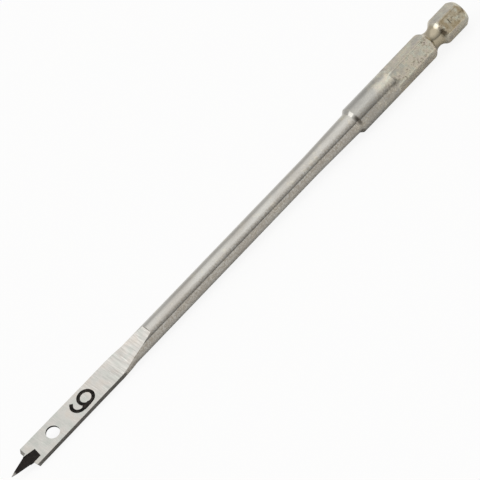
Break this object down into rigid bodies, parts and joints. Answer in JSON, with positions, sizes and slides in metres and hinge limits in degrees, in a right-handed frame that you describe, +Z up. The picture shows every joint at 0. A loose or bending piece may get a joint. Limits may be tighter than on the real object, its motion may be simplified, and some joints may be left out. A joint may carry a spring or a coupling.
{
  "type": "spade drill bit",
  "caption": "Flat spade bit for boring wood, with a long centre point, a hole through the blade and a grooved hexagonal quick-change shank.",
  "frame": {"origin": "on the surface that the bit lies on, under the middle of its box", "axes": "+X along the bit from its point to its shank, +Y level and square to it, +Z up from the surface"},
  "size_m": [0.152, 0.007, 0.0073],
  "materials": {
    "ground_steel": "satin, turned and ground, with light tarnish"
  },
  "bodies": {
    "root": {"spade_bit": "ground_steel"}
  },
  "joints": []
}
